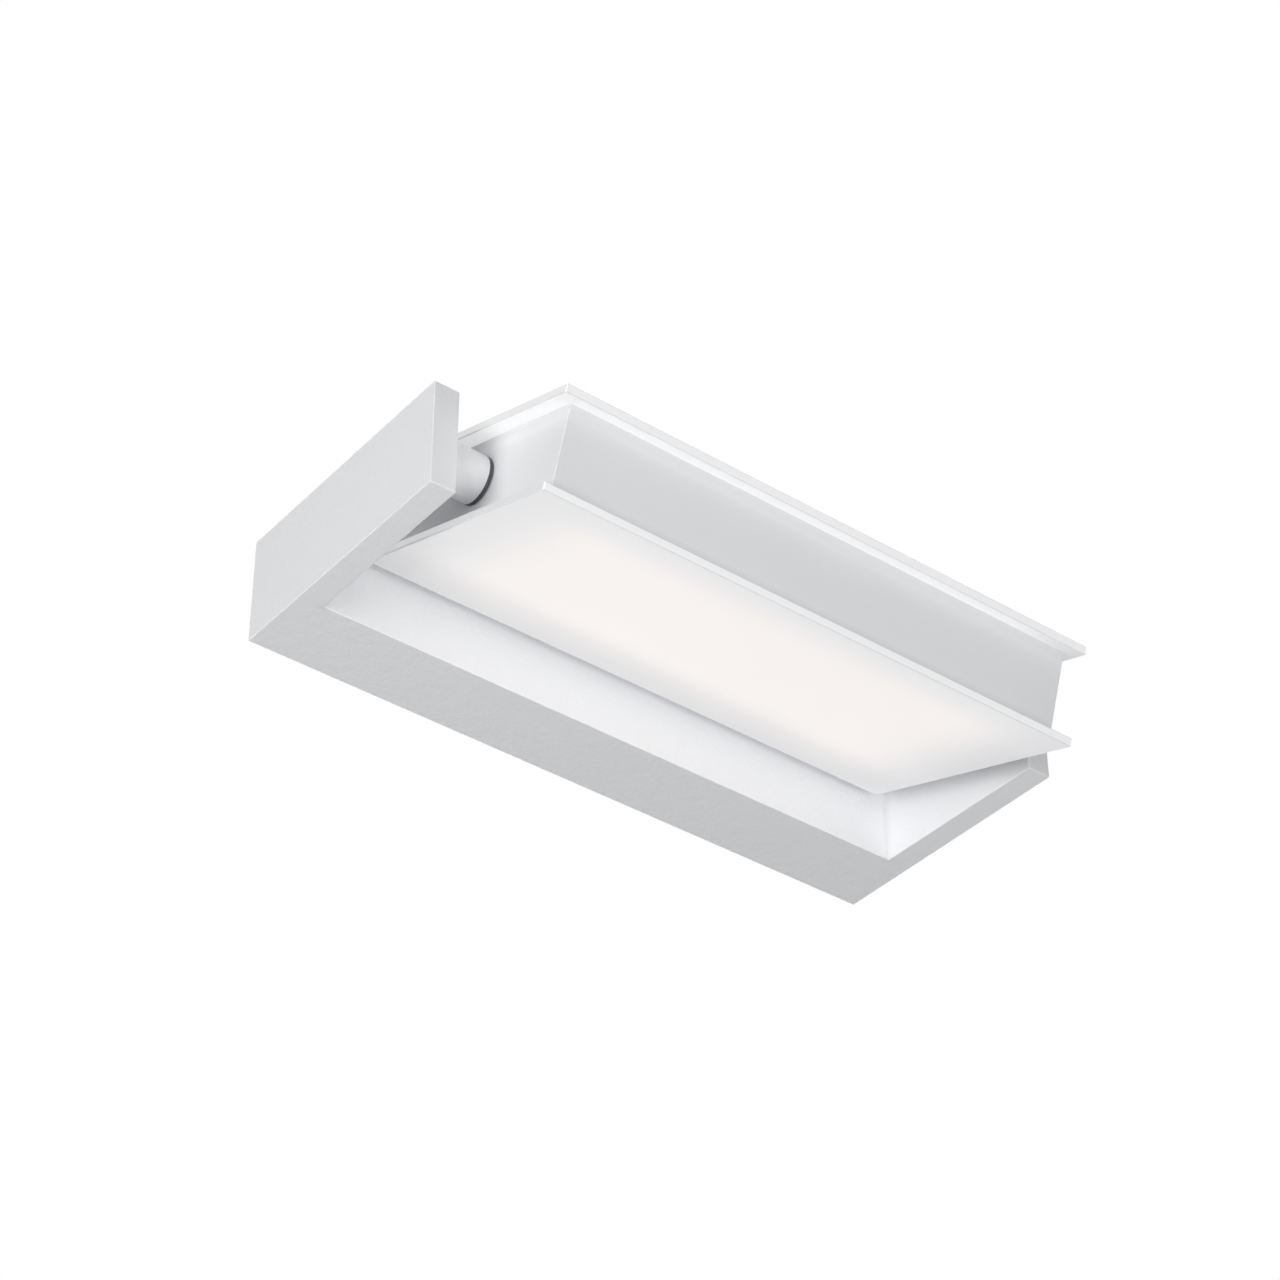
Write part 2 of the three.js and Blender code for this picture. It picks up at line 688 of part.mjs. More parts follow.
// What is left of a wall between two mitred corners, seen from above: the wall lies along X at
// the negative end of Y
function mitredOutline(halfLength, halfDepth) {
  const trim = mitreGap / Math.SQRT2;
  const reach = frameWall + grooveDepth + cutOverrun;
  return outline([
    [-halfLength + trim, -halfDepth],
    [halfLength - trim, -halfDepth],
    [halfLength - trim - reach, -halfDepth + reach],
    [-halfLength + trim + reach, -halfDepth + reach],
  ]);
}

// A long wall of the frame, with the groove that holds the heat spreader's edge
function buildRail() {
  const outer = bodyDepth / 2;
  const inner = outer - frameWall;
  const half = bodyHeight / 2;
  const slot = spreaderThickness / 2 + slipGap;
  const section = outline([
    [-outer, -half],
    [-inner, -half],
    [-inner, -slot - grooveRib],
    [-inner + grooveDepth, -slot - grooveRib],
    [-inner + grooveDepth, -slot],
    [-inner, -slot],
    [-inner, slot],
    [-inner + grooveDepth, slot],
    [-inner + grooveDepth, slot + grooveRib],
    [-inner, slot + grooveRib],
    [-inner, half],
    [-outer, half],
  ]);
  const long = new THREE.ExtrudeGeometry(section, { depth: bodyLength, bevelEnabled: false });
  const turn = new THREE.Matrix4().makeBasis(
    new THREE.Vector3(0, 1, 0), new THREE.Vector3(0, 0, 1), new THREE.Vector3(1, 0, 0));
  long.applyMatrix4(turn).translate(-bodyHalf, 0, 0);
  return common(long, slab(mitredOutline(bodyHalf, outer), -half - cutOverrun, half + cutOverrun));
}

// A short wall of the frame, bored for the pivot tube
function buildEndPlate(side) {
  const half = bodyHeight / 2;
  const prism = slab(mitredOutline(bodyDepth / 2, bodyHalf), -half - cutOverrun,
    half + cutOverrun);
  prism.rotateZ(side > 0 ? Math.PI / 2 : -Math.PI / 2);
  const x0 = side > 0 ? bodyInner : -bodyHalf;
  const wall = block(x0, x0 + frameWall, -bodyDepth / 2, bodyDepth / 2, -half, half);
  const through = [x0 - cutOverrun, x0 + frameWall + cutOverrun];
  const tools = [bar('x', boreInFrame, ...through, [0, 0])];
  if (side < 0) {
    const hole = stopPinDiameter + 2 * slipGap;
    const floor = x0 + frameWall / 2;
    for (const [y, z] of stopPinPlaces()) {
      tools.push(bar('x', hole, floor, x0 + frameWall + cutOverrun, [y, z], smallSides));
    }
  }
  return cut(common(wall, prism), ...tools);
}

// Each pin stands where the hanging tab meets it when the head has tilted to its stop
function stopPinPlaces() {
  const circle = stopPinCircle / 2;
  const sideways = stopTabWidth / 2 + stopPinDiameter / 2 + runningGap;
  const standOff = Math.asin(sideways / circle);
  const stop = THREE.MathUtils.degToRad(tiltStopDegrees) + standOff;
  return [-stop, stop].map((angle) => [circle * Math.sin(angle), -circle * Math.cos(angle)]);
}

function buildCornerKey(sideX, sideY) {
  const x = sideX * (bodyInner - slipGap);
  const y = sideY * (bodyDepth / 2 - frameWall - slipGap);
  const legX = x - sideX * keyLeg;
  const legY = y - sideY * keyLeg;
  const innerX = x - sideX * keyPlateThickness;
  const innerY = y - sideY * keyPlateThickness;
  const base = spreaderThickness / 2 + 2 * slipGap + grooveRib;
  const shape = outline([
    [x, y], [legX, y], [legX, innerY], [innerX, innerY], [innerX, legY], [x, legY],
  ]);
  return slab(shape, base, bodyHeight / 2 - keyTopGap);
}

// The spreader is notched at both ends, for the pivots' nuts, the stop tab's swing and the lead
function buildSpreader() {
  const halfX = bodyInner - seatGap;
  const halfY = bodyDepth / 2 - frameWall - seatGap;
  const notchX = tubeInner - 2 * headLeadDiameter - seatGap;
  const notchY = stopWasherDiameter / 2 + stopTabReach + tabSwingGap;
  const shape = outline([
    [-halfX, -halfY], [halfX, -halfY], [halfX, -notchY], [notchX, -notchY],
    [notchX, notchY], [halfX, notchY], [halfX, halfY], [-halfX, halfY],
    [-halfX, notchY], [-notchX, notchY], [-notchX, -notchY], [-halfX, -notchY],
  ]);
  const half = spreaderThickness / 2;
  const bores = boardScrewPlaces().flatMap(([x, y]) => [[x, y], [x, -y]]).map((place) => (
    bar('z', boardScrewSize.thread + 2 * slipGap, -half - cutOverrun, half + cutOverrun, place,
      smallSides)
  ));
  return cut(slab(shape, -half, half), ...bores);
}

function buildFrame() {
  add(head, 'frame_rail_front', buildRail(), paint);
  add(head, 'frame_rail_back', buildRail().rotateZ(Math.PI), paint);
  add(head, 'frame_end_left', buildEndPlate(-1), paint);
  add(head, 'frame_end_right', buildEndPlate(1), paint);
  for (const [labelX, sideX] of [['left', -1], ['right', 1]]) {
    for (const [labelY, sideY] of [['front', -1], ['back', 1]]) {
      add(head, `corner_key_${labelX}_${labelY}`, buildCornerKey(sideX, sideY), zincSteel);
    }
  }
  add(head, 'heat_spreader', buildSpreader(), bareAluminium);
  const pinEnd = -bodyInner + stopPinStickOut;
  const pinBase = -bodyInner - frameWall / 2 + slipGap;
  for (const [label, [y, z]] of [['a', stopPinPlaces()[0]], ['b', stopPinPlaces()[1]]]) {
    add(head, `stop_pin_${label}`, bar('x', stopPinDiameter, pinBase, pinEnd, [y, z], smallSides),
      zincSteel);
  }
}

// One light engine: a board of light sources, its reflector sheet and the opal plate over it
const boardSideGap = 11.75;
const boardLength = 2 * (tubeInner - leadForkRoom);
const boardDepth = bodyDepth - 2 * frameWall - 2 * boardSideGap;
const boardThickness = 1.6;
const boardScrewToEnd = 4;
const boardScrewToSide = 6;
const ledLength = 3.5;
const ledWidth = 2.8;
const ledHeight = 0.9;
const ledToEnd = 10.3;
const ledRowShare = 0.47;
const ledColumns = 12;
const reflectorThickness = 0.5;
const ledWindowMargin = 0.5;
const connectorToEnd = 2;
const connectorLength = 8;
const connectorWidth = 6;
const connectorHeight = 4.2;
const connectorPlace = -(boardLength / 2 - connectorToEnd - connectorLength / 2);

function boardScrewPlaces() {
  const x = boardLength / 2 - boardScrewToEnd;
  const y = boardDepth / 2 - boardScrewToSide;
  return [[-x, y], [x, -y]];
}

function ledPlaces() {
  const places = [];
  const pitch = (boardLength - 2 * ledToEnd) / (ledColumns - 1);
  const row = (boardDepth / 2) * ledRowShare;
  for (let column = 0; column < ledColumns; column += 1) {
    const x = (column - (ledColumns - 1) / 2) * pitch;
    places.push([x, -row], [x, row]);
  }
  return places;
}

function rectangle(x, y, length, width) {
  return outline([
    [x - length / 2, y - width / 2],
    [x + length / 2, y - width / 2],
    [x + length / 2, y + width / 2],
    [x - length / 2, y + width / 2],
  ]);
}

function buildBoard(base) {
  const top = base + boardThickness;
  const bores = boardScrewPlaces().map((place) => (
    bar('z', boardScrewSize.thread + 2 * slipGap, base - cutOverrun, top + cutOverrun, place,
      smallSides)
  ));
  const leds = ledPlaces().map(([x, y]) => (
    slab(rectangle(x, y, ledLength, ledWidth), base + boardThickness / 2, top + ledHeight)
  ));
  return join(cut(slab(rectangle(0, 0, boardLength, boardDepth), base, top), ...bores), ...leds);
}

function buildReflector(base) {
  const top = base + reflectorThickness;
  const margin = 2 * ledWindowMargin;
  const window = (x, y, length, width) => (
    slab(rectangle(x, y, length + margin, width + margin), base - cutOverrun, top + cutOverrun)
  );
  const windows = ledPlaces().map(([x, y]) => window(x, y, ledLength, ledWidth));
  windows.push(window(connectorPlace, 0, connectorLength, connectorWidth));
  for (const place of boardScrewPlaces()) {
    windows.push(bar('z', boardScrewSize.headDiameter + margin, base - cutOverrun,
      top + cutOverrun, place, smallSides));
  }
  return cut(slab(rectangle(0, 0, boardLength, boardDepth), base, top), ...windows);
}

// The plate's edges are broken by a small chamfer all round
function buildDiffuser(base) {
  const shape = rectangle(0, 0, plateLength, plateDepth);
  const geometry = new THREE.ExtrudeGeometry(shape, {
    depth: plateThickness - 2 * plateChamfer,
    bevelThickness: plateChamfer,
    bevelSize: plateChamfer,
    bevelOffset: -plateChamfer,
    bevelSegments: 1,
  });
  return geometry.translate(0, 0, base + plateChamfer);
}

function connectorLevel() {
  return spreaderThickness / 2 + seatGap + boardThickness + slipGap + connectorHeight / 2;
}

function buildLightEngine(level, turn) {
  const engine = new THREE.Group();
  engine.rotation.x = turn;
  head.add(engine);
  const boardBase = spreaderThickness / 2 + seatGap;
  const boardTop = boardBase + boardThickness;
  add(engine, `led_board_${level}`, buildBoard(boardBase), boardMask);
  add(engine, `reflector_sheet_${level}`, buildReflector(boardTop + slipGap), whitePlastic);
  const connector = block(connectorPlace - connectorLength / 2,
    connectorPlace + connectorLength / 2, -connectorWidth / 2, connectorWidth / 2,
    boardTop + slipGap, boardTop + slipGap + connectorHeight);
  add(engine, `board_connector_${level}`, connector, whitePlastic);
  for (const [label, [x, y]] of [['left', boardScrewPlaces()[0]], ['right', boardScrewPlaces()[1]]]) {
    const geometry = lieAlong('z', screw(boardScrewSize));
    const mesh = add(engine, `board_screw_${level}_${label}`, geometry, zincSteel);
    mesh.position.set(x, y, boardTop + slipGap - boardScrewSize.length);
  }
  add(engine, `diffuser_${level}`, buildDiffuser(bodyHeight / 2 + bondGap), opal);
}

// The lead comes out of the left pivot tube and forks to the connector on each board
function buildHeadLead() {
  const diameter = headLeadDiameter;
  const start = -(collarStart + (armInner - collarStart) / 2) + seatGap;
  const turnPlace = -tubeInner + diameter;
  const end = connectorPlace - connectorLength / 2 - seatGap;
  const [upper, lower] = [1, -1].map((side) => lead([
    [start, 0, 0],
    [turnPlace, 0, 0],
    [turnPlace + diameter, 0, side * connectorLevel()],
    [end, 0, side * connectorLevel()],
  ], diameter, headLeadBend));
  return join(upper, lower);
}

buildFrame();
buildLightEngine('upper', 0);
buildLightEngine('lower', Math.PI);
add(head, 'head_lead', buildHeadLead(), clearSleeve);

export default light;
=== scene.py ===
"""A white wall light: a U-shaped bracket carries a tilting box head that glows above and below.

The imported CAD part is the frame. This script gives every node its finish, and puts pieces with
softened edges and finer round shapes in the place of the ones that show. Lengths are in metres.
"""
import json
import math

import bmesh
import bpy
from mathutils import Matrix, Vector


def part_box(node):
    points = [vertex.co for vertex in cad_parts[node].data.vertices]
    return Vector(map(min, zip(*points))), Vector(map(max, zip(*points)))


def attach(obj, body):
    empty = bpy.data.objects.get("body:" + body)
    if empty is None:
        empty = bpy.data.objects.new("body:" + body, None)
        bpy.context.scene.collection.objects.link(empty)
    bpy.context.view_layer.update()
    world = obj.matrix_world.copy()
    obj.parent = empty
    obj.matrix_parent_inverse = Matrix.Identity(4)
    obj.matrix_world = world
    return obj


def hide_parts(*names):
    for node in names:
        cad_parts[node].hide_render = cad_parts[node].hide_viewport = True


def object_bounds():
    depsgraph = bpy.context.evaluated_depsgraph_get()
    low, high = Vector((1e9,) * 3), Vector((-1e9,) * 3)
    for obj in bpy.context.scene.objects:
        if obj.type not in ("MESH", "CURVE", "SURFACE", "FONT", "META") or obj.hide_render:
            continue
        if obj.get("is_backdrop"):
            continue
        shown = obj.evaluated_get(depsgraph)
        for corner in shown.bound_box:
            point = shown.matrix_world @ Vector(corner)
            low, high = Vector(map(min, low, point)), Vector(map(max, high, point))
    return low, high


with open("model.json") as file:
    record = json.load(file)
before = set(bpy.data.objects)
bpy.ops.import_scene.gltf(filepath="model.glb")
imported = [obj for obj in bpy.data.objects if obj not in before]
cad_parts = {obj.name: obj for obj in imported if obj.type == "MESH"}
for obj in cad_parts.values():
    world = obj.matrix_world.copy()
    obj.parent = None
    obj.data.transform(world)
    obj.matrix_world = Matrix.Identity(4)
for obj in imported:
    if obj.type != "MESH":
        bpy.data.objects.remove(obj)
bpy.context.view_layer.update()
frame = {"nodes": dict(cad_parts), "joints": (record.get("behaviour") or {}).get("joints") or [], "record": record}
nodes = frame["nodes"]

MM = 0.001
AXES = {"x": Vector((1, 0, 0)), "y": Vector((0, 1, 0)), "z": Vector((0, 0, 1))}
SEAM = 0.002 * MM                # vertices nearer than this are joined
SMOOTH_ANGLE = math.radians(35)  # faces that meet at less than this shade as one
FLAT_ANGLE = math.radians(0.5)   # faces that meet at less than this are one

# Rounded edges and chamfers
BRACKET_EDGE = 0.3 * MM
COLLAR_EDGE = 0.2 * MM
WASHER_EDGE = 0.15 * MM
FRAME_EDGE = 0.25 * MM
PLATE_CHAMFER = 0.35 * MM

# The room round a pivot tube, on the radius
RING_ROOM = 0.2 * MM
END_PLATE_ROOM = 0.4 * MM

# How much of the glue gap under a plate the frame fills
BOND_FILL = 0.8

# A Mix node's sockets for colours: its share, its two inputs and its result
MIX_SHARE, MIX_FIRST, MIX_SECOND, MIX_RESULT = 0, 6, 7, 2

# The head's own frame: its pivot, and the tilt that it rests at. Its two stops lie a quarter turn
# either way from level, so the middle of the range is how far level is from rest.
tilt = frame["joints"][0]
pivot = Vector(tilt["pos_m"])
rest_tilt = -math.radians(sum(tilt["range_deg"]) / 2)
head_matrix = Matrix.Translation(pivot) @ Matrix.Rotation(rest_tilt, 4, "X")


# Shapes

def mesh_object(name, shape, matrix=None):
    """An object from a bmesh, its faces turned outward. The bmesh is freed."""
    bmesh.ops.recalc_face_normals(shape, faces=shape.faces)
    if shape.calc_volume(signed=True) < 0:
        bmesh.ops.reverse_faces(shape, faces=shape.faces)
    mesh = bpy.data.meshes.new(name)
    shape.to_mesh(mesh)
    shape.free()
    made = bpy.data.objects.new(name, mesh)
    bpy.context.scene.collection.objects.link(made)
    if matrix is not None:
        made.matrix_world = matrix
    return made


def block(low, high):
    """A box between two opposite corners."""
    shape = bmesh.new()
    size = Vector(high) - Vector(low)
    place = Matrix.Translation((Vector(low) + Vector(high)) / 2) @ Matrix.Diagonal((*size, 1))
    bmesh.ops.create_cube(shape, size=1, matrix=place)
    return shape


def prism(outline, low, high):
    """An outline in X and Y, filled and raised from one height to another."""
    shape = bmesh.new()
    face = shape.faces.new([shape.verts.new((x, y, low)) for x, y in outline])
    raised = bmesh.ops.extrude_face_region(shape, geom=[face])["geom"]
    top = [item for item in raised if isinstance(item, bmesh.types.BMVert)]
    bmesh.ops.translate(shape, verts=top, vec=(0, 0, high - low))
    return shape


def turn_to(axis):
    """The turn that lays a shape made along Z along another axis."""
    return AXES["z"].rotation_difference(AXES[axis]).to_matrix().to_4x4()


def turned(profile, axis, centre, sides=96):
    """A closed profile of radii and places along an axis, turned about that axis."""
    shape = bmesh.new()
    rings = []
    for step in range(sides):
        angle = 2 * math.pi * step / sides
        rings.append([
            shape.verts.new((radius * math.cos(angle), radius * math.sin(angle), place))
            for radius, place in profile
        ])
    count = len(profile)
    for step in range(sides):
        here, there = rings[step], rings[(step + 1) % sides]
        for i in range(count):
            j = (i + 1) % count
            shape.faces.new((here[i], here[j], there[j], there[i]))
    bmesh.ops.remove_doubles(shape, verts=shape.verts, dist=SEAM)
    shape.transform(Matrix.Translation(centre) @ turn_to(axis))
    return shape


def rod(diameter, start, end, sides=64):
    """A round bar along X, from one place to another."""
    shape = bmesh.new()
    bmesh.ops.create_cone(shape, cap_ends=True, segments=sides, radius1=diameter / 2,
                          radius2=diameter / 2, depth=end - start)
    shape.transform(Matrix.Translation(((start + end) / 2, 0, 0)) @ turn_to("x"))
    return shape


def soften(shape, width, segments=3):
    """Rounds the sharp outer edges, or chamfers them with one segment."""
    edges = [
        edge for edge in shape.edges
        if edge.is_manifold and edge.is_convex and edge.calc_face_angle() > SMOOTH_ANGLE
    ]
    bmesh.ops.bevel(shape, geom=edges, offset=width, segments=segments, profile=0.5,
                    affect="EDGES", clamp_overlap=True)
    return shape


def combine(name, base, tools, operation="DIFFERENCE", matrix=None):
    """A new object: the base shape cut by, or kept within, the tools."""
    made = mesh_object(name, base, matrix)
    helpers = [mesh_object(f"{name}_tool", tool, matrix) for tool in tools]
    for helper in helpers:
        change = made.modifiers.new("shape", "BOOLEAN")
        change.operation, change.solver, change.object = operation, "EXACT", helper
    bpy.context.view_layer.update()
    graph = bpy.context.evaluated_depsgraph_get()
    result = bpy.data.meshes.new_from_object(made.evaluated_get(graph))
    made.modifiers.clear()
    made.data = result
    for helper in helpers:
        bpy.data.objects.remove(helper)
    return made


def smooth(piece):
    """Smooth shading that stays flat on flat faces and keeps sharp edges sharp."""
    shape = bmesh.new()
    shape.from_mesh(piece.data)
    bmesh.ops.remove_doubles(shape, verts=shape.verts, dist=SEAM)
    bmesh.ops.dissolve_degenerate(shape, edges=shape.edges, dist=SEAM)
    for face in shape.faces:
        face.smooth = True
    for edge in shape.edges:
        edge.smooth = not edge.is_manifold or edge.calc_face_angle() < SMOOTH_ANGLE
    shape.to_mesh(piece.data)
    shape.free()
    weighted = piece.modifiers.new("normals", "WEIGHTED_NORMAL")
    weighted.keep_sharp = True
    weighted.weight = 100


def coat(mesh, material):
    """Gives a mesh its one material."""
    mesh.materials.clear()
    mesh.materials.append(material)


def fit(piece, body, material, node):
    """Gives a piece its finish and its body, and hides the node that it stands for."""
    smooth(piece)
    coat(piece.data, material)
    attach(piece, body)
    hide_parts(node)


def cad_shape(node):
    """A copy of a node's own mesh, its flat faces made whole."""
    shape = bmesh.new()
    shape.from_mesh(nodes[node].data)
    bmesh.ops.remove_doubles(shape, verts=shape.verts, dist=SEAM)
    bmesh.ops.dissolve_limit(shape, angle_limit=FLAT_ANGLE, verts=shape.verts, edges=shape.edges)
    return shape


def head_box(node):
    """Lowest and highest corner of a node in the head's own frame."""
    inverse = head_matrix.inverted()
    points = [inverse @ vertex.co for vertex in nodes[node].data.vertices]
    return (Vector(min(p[i] for p in points) for i in range(3)),
            Vector(max(p[i] for p in points) for i in range(3)))


# Shader nodes

def add_node(tree, kind, values=None, **settings):
    """A shader node, with its settings, its input values and its links."""
    made = tree.nodes.new(f"ShaderNode{kind}")
    for name, value in settings.items():
        setattr(made, name, value)
    for name, value in (values or {}).items():
        if isinstance(value, bpy.types.NodeSocket):
            tree.links.new(value, made.inputs[name])
        else:
            made.inputs[name].default_value = value
    return made


def shaded(name):
    """A new material: its node tree, its shader and its object coordinates in metres."""
    material = bpy.data.materials.new(name)
    material.use_nodes = True
    tree = material.node_tree
    tree.nodes.clear()
    shader = add_node(tree, "BsdfPrincipled")
    add_node(tree, "OutputMaterial", {"Surface": shader.outputs["BSDF"]})
    place = add_node(tree, "TexCoord").outputs["Object"]
    return material, tree, shader, place


def maths(tree, operation, *values):
    """The result of an operation on one or two values."""
    return add_node(tree, "Math", dict(enumerate(values)), operation=operation).outputs[0]


def separated(tree, vector):
    """A vector's parts along X, Y and Z."""
    return add_node(tree, "SeparateXYZ", {"Vector": vector}).outputs


def noise(tree, place, size, detail=2, roughness=0.5):
    """Noise whose features are about the given size."""
    return add_node(tree, "TexNoise", {
        "Vector": place, "Scale": 1 / size, "Detail": detail, "Roughness": roughness,
    }).outputs["Fac"]


def spread(tree, value, low, high, start=0.3, end=0.7):
    """Maps a value to a range, evenly. Noise lies mostly between 0.3 and 0.7."""
    return add_node(tree, "MapRange", {
        "Value": value, "From Min": start, "From Max": end, "To Min": low, "To Max": high,
    }).outputs["Result"]


def ramp(tree, value, zero, one):
    """A share that rises smoothly from 0 at one place to 1 at another."""
    return add_node(tree, "MapRange", {
        "Value": value, "From Min": zero, "From Max": one, "To Min": 0, "To Max": 1,
    }, interpolation_type="SMOOTHSTEP").outputs["Result"]


def blend(tree, share, first, second):
    """A colour between two colours."""
    return add_node(tree, "Mix", {
        MIX_SHARE: share, MIX_FIRST: first, MIX_SECOND: second,
    }, data_type="RGBA").outputs[MIX_RESULT]


def mottle(tree, value, first, second):
    """Two colours mingled by noise."""
    return blend(tree, spread(tree, value, 0, 1), first, second)


def scaled(colour, factor=1):
    """A colour made darker or paler, with its alpha."""
    return (*(min(1, channel * factor) for channel in colour), 1)


def worn_edges(tree, place, radius):
    """A share that rises at the edges, broken up by noise."""
    rounded = add_node(tree, "Bevel", {"Radius": radius}, samples=4).outputs["Normal"]
    flat = add_node(tree, "NewGeometry").outputs["Normal"]
    along = add_node(tree, "VectorMath", {0: rounded, 1: flat}, operation="DOT_PRODUCT")
    full_wear, no_wear = 0.8, 0.995  # cosines between the two normals
    edge = spread(tree, along.outputs["Value"], 1, 0, start=full_wear, end=no_wear)
    broken = spread(tree, noise(tree, place, 3 * MM), 0.2, 1)
    return maths(tree, "MULTIPLY", edge, broken)


def colour_with(tree, shader, colour):
    """Gives the shader its base colour."""
    tree.links.new(colour, shader.inputs["Base Color"])


def roughen(tree, shader, value, low, high):
    """Varies the roughness by noise."""
    tree.links.new(spread(tree, value, low, high), shader.inputs["Roughness"])


def relief(tree, shader, height, depth):
    """Fine bumps of the given depth."""
    bump = add_node(tree, "Bump", {"Height": height, "Distance": depth, "Strength": 1})
    tree.links.new(bump.outputs["Normal"], shader.inputs["Normal"])


def added(tree, first, second, share):
    """A height with a share of another height on it."""
    return maths(tree, "ADD", first, maths(tree, "MULTIPLY", second, share))


# Finishes

def powder_coat(name, colour, grain, depth, roughness, shadowed_corner=None, seam=None):
    """Baked powder: fine grain on a soft, slightly wavy coat, thinner and paler at its edges, and
    darker with painted shade: in an inner corner, given by its places along X and Y, or as a
    painted shadow toward a seam at a height above and below."""
    waves, peel, clouds = 2.5 * grain, 7 * grain, 30 * MM
    # How wide the worn edges are, and how far and how dark the painted corner shade and the painted seam shadow
    # are
    worn_width, corner_shade_reach, seam_shadow_reach = 0.5 * MM, 3 * MM, 4.6 * MM
    worn_shade, painted_corner_shade, painted_seam_shadow = 1.03, 0.9, 0.8
    material, tree, shader, place = shaded(name)
    fine = noise(tree, place, grain, detail=3, roughness=0.6)
    wavy = noise(tree, place, waves)
    orange_peel = noise(tree, place, peel)
    cloud = noise(tree, place, clouds, detail=3)
    paint = mottle(tree, cloud, scaled(colour, 0.975), scaled(colour, 1.01))
    paint = mottle(tree, wavy, scaled(colour, 0.975), paint)
    paint = mottle(tree, fine, scaled(colour, 0.95), paint)
    paint = blend(tree, worn_edges(tree, place, worn_width), paint, scaled(colour, worn_shade))
    parts = separated(tree, place)
    # Painted shadow: the coat darkens toward the seam with the plates, like a soft contact shadow under their edge
    if seam is not None:
        level = maths(tree, "ABSOLUTE", parts["Z"])
        paint = blend(tree, ramp(tree, level, seam - seam_shadow_reach, seam), paint,
                      scaled(colour, painted_seam_shadow))
    # Painted shade: darker within a few millimetres of the inner corner, where shade gathers
    if shadowed_corner is not None:
        across = maths(tree, "ABSOLUTE", parts["X"])
        away = [maths(tree, "ABSOLUTE", maths(tree, "SUBTRACT", value, at))
                for value, at in zip((across, parts["Y"]), shadowed_corner)]
        farther = maths(tree, "MAXIMUM", *away)
        paint = blend(tree, ramp(tree, farther, 0, corner_shade_reach), scaled(colour, painted_corner_shade),
                      paint)
    colour_with(tree, shader, paint)
    roughen(tree, shader, fine, roughness - 0.06, roughness + 0.08)
    shader.inputs["Specular IOR Level"].default_value = 0.35
    relief(tree, shader, added(tree, added(tree, fine, wavy, 1.5), orange_peel, 1.5), depth)
    return material


def plated_steel(name, colour, roughness):
    """Zinc-plated steel: fine drawn lines, soft clouds in the plating and brighter edges."""
    draw = (1, 8, 8)  # how much finer the lines are across each axis
    material, tree, shader, place = shaded(name)
    drawn = add_node(tree, "Mapping", {"Vector": place, "Scale": draw}).outputs["Vector"]
    lines = noise(tree, drawn, 1.2 * MM, detail=4, roughness=0.65)
    cloud = noise(tree, place, 5 * MM, detail=3)
    plating = mottle(tree, cloud, scaled(colour, 0.93), scaled(colour, 1.03))
    colour_with(tree, shader, blend(tree, worn_edges(tree, place, 0.2 * MM), plating,
                                    scaled(colour, 1.25)))
    roughen(tree, shader, lines, roughness - 0.1, roughness + 0.12)
    shader.inputs["Metallic"].default_value = 1
    relief(tree, shader, lines, 0.01 * MM)
    return material


def moulded(name, colour, grain, depth, roughness, specular=0.5):
    """Moulded plastic or rubber: an eroded mould texture and slight mottling."""
    material, tree, shader, place = shaded(name)
    fine = noise(tree, place, grain, detail=4, roughness=0.6)
    cloud = noise(tree, place, 9 * MM, detail=3)
    body = mottle(tree, cloud, scaled(colour, 0.92), scaled(colour, 1.05))
    colour_with(tree, shader, blend(tree, worn_edges(tree, place, 0.3 * MM), body,
                                    scaled(colour, 1.15)))
    roughen(tree, shader, fine, roughness - 0.08, roughness + 0.1)
    shader.inputs["Specular IOR Level"].default_value = specular
    relief(tree, shader, fine, depth)
    return material


def solder_mask(name, colour):
    """A white circuit board: glossy mask over faint copper lines."""
    track_length, track_pitch, track_gap, track_depth = 13.4 * MM, 7 * MM, 0.35 * MM, 0.03 * MM
    material, tree, shader, place = shaded(name)
    track = add_node(tree, "TexBrick", {
        "Vector": place, "Color1": scaled(colour), "Color2": scaled(colour, 0.97),
        "Mortar": scaled(colour, 0.86), "Scale": 1, "Brick Width": track_length,
        "Row Height": track_pitch, "Mortar Size": track_gap,
    })
    colour_with(tree, shader, track.outputs["Color"])
    fine = noise(tree, place, 1 * MM, detail=3)
    roughen(tree, shader, fine, 0.28, 0.42)
    relief(tree, shader, added(tree, track.outputs["Fac"], fine, 0.2), track_depth)
    return material


